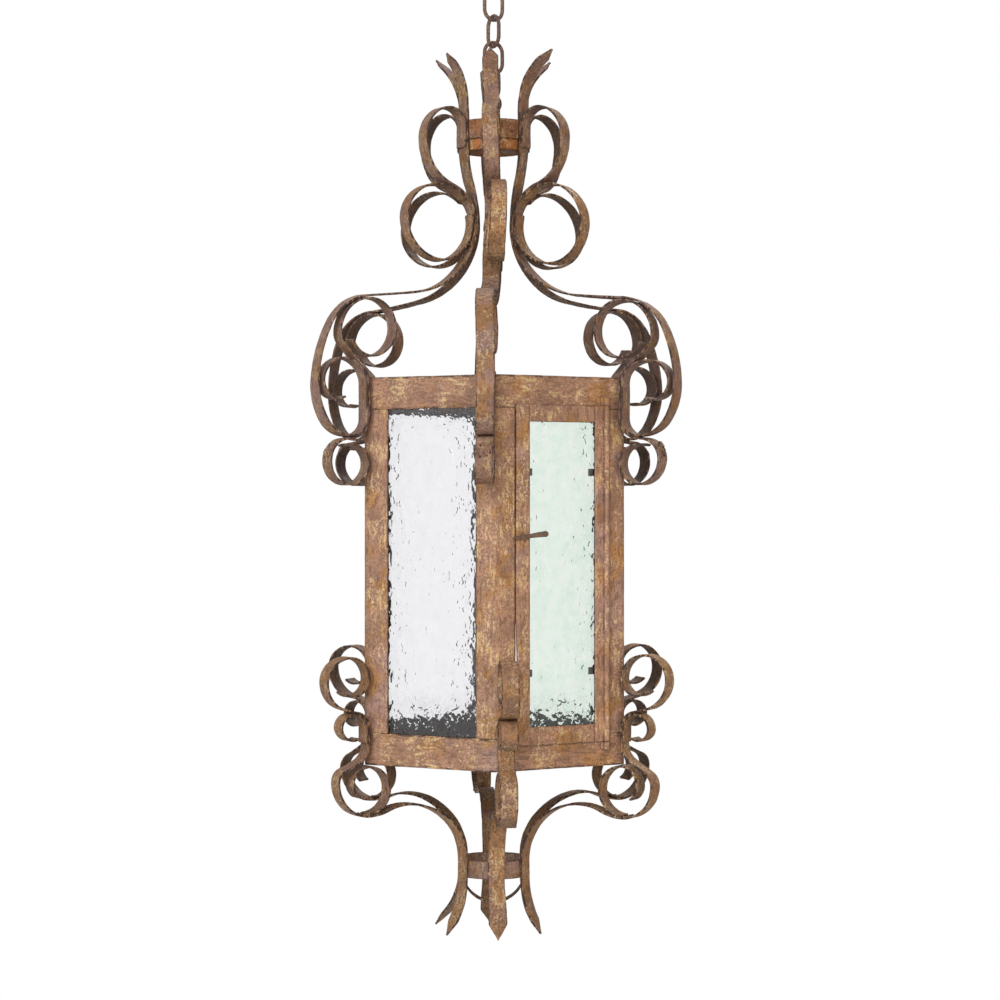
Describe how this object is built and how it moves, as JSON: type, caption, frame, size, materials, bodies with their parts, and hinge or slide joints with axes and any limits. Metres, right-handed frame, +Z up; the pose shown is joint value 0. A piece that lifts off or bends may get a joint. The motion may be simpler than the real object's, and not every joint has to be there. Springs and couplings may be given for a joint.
{
  "type": "hanging lantern",
  "caption": "Six-sided hanging candle lantern of rusted strap iron with scrolled bars, rippled glass panes, a hinged door and a chain.",
  "frame": {"origin": "inside the top of the hanging ring, on the lantern's axis", "axes": "+Z up along the lantern's axis, -Y out of the corner left of the door"},
  "size_m": [0.4128, 0.4658, 1.0838],
  "materials": {
    "chain_iron": "rough",
    "sheet_iron": "rusted",
    "strap_iron": "rusted",
    "dark_iron": "rusted",
    "clear_glass": "rippled",
    "green_glass": "rippled"
  },
  "bodies": {
    "hanging_ring": {"hanging_ring": "chain_iron"},
    "chain_link_1": {"chain_link_1": "chain_iron"},
    "chain_link_2": {"chain_link_2": "chain_iron"},
    "chain_link_3": {"chain_link_3": "chain_iron"},
    "lantern": {"hanger_eye": "chain_iron", "hanger_nut": "chain_iron", "collar_band": "sheet_iron", "collar_cup": "sheet_iron", "collar_rivets": "sheet_iron", "upper_bar_1": "strap_iron", "upper_bar_2": "strap_iron", "upper_bar_3": "strap_iron", "upper_bar_4": "strap_iron", "upper_bar_5": "strap_iron", "upper_bar_6": "strap_iron", "collar_scrolls": "strap_iron", "neck_rings": "strap_iron", "shoulder_scroll_1": "strap_iron", "shoulder_scroll_2": "strap_iron", "shoulder_scroll_3": "strap_iron", "shoulder_scroll_4": "strap_iron", "shoulder_scroll_5": "strap_iron", "shoulder_scroll_6": "strap_iron", "lower_bar_1": "strap_iron", "lower_bar_2": "strap_iron", "lower_bar_3": "strap_iron", "lower_bar_4": "strap_iron", "lower_bar_5": "strap_iron", "lower_bar_6": "strap_iron", "under_curls": "strap_iron", "knuckle_curls": "strap_iron", "lower_ring": "sheet_iron", "bottom_strap": "strap_iron", "top_band": "sheet_iron", "bottom_band": "sheet_iron", "corner_post_1": "sheet_iron", "corner_post_2": "sheet_iron", "corner_post_3": "sheet_iron", "corner_post_4": "sheet_iron", "corner_post_5": "sheet_iron", "corner_post_6": "sheet_iron", "pane_1": "clear_glass", "pane_2": "clear_glass", "pane_3": "clear_glass", "pane_4": "clear_glass", "pane_5": "clear_glass", "pane_tabs": "dark_iron", "floor_plate": "dark_iron", "drip_pan": "dark_iron", "candle_cup": "dark_iron", "pivot_sockets": "sheet_iron"},
    "door": {"door_frame": "sheet_iron", "door_pane": "green_glass", "door_tabs": "dark_iron", "door_pivot_pins": "sheet_iron"},
    "latch": {"latch_handle": "sheet_iron", "latch_pin": "sheet_iron", "latch_tongue": "sheet_iron"}
  },
  "joints": [
    {"name": "chain_link_1_swing", "type": "hinge", "parent": "hanging_ring", "child": "chain_link_1", "pos_m": [0, 0, -0.033], "axis": [0.866, 0.5, 0], "range_deg": [-35, 35]},
    {"name": "chain_link_2_swing", "type": "hinge", "parent": "chain_link_1", "child": "chain_link_2", "pos_m": [0, 0, -0.0636], "axis": [-0.5, 0.866, 0], "range_deg": [-35, 35]},
    {"name": "chain_link_3_swing", "type": "hinge", "parent": "chain_link_2", "child": "chain_link_3", "pos_m": [0, 0, -0.0942], "axis": [0.866, 0.5, 0], "range_deg": [-35, 35]},
    {"name": "lantern_swing", "type": "hinge", "parent": "chain_link_3", "child": "lantern", "pos_m": [0, 0, -0.1248], "axis": [-0.5, 0.866, 0], "range_deg": [-25, 25]},
    {"name": "door_swing", "type": "hinge", "parent": "lantern", "child": "door", "pos_m": [0.12428, -0.10036, -0.4803], "axis": [0, 0, 1], "range_deg": [0, 110]},
    {"name": "latch_turn", "type": "hinge", "parent": "door", "child": "latch", "pos_m": [0.02841, -0.1511, -0.6253], "axis": [-0.5, 0.866, 0], "range_deg": [0, 90]}
  ]
}
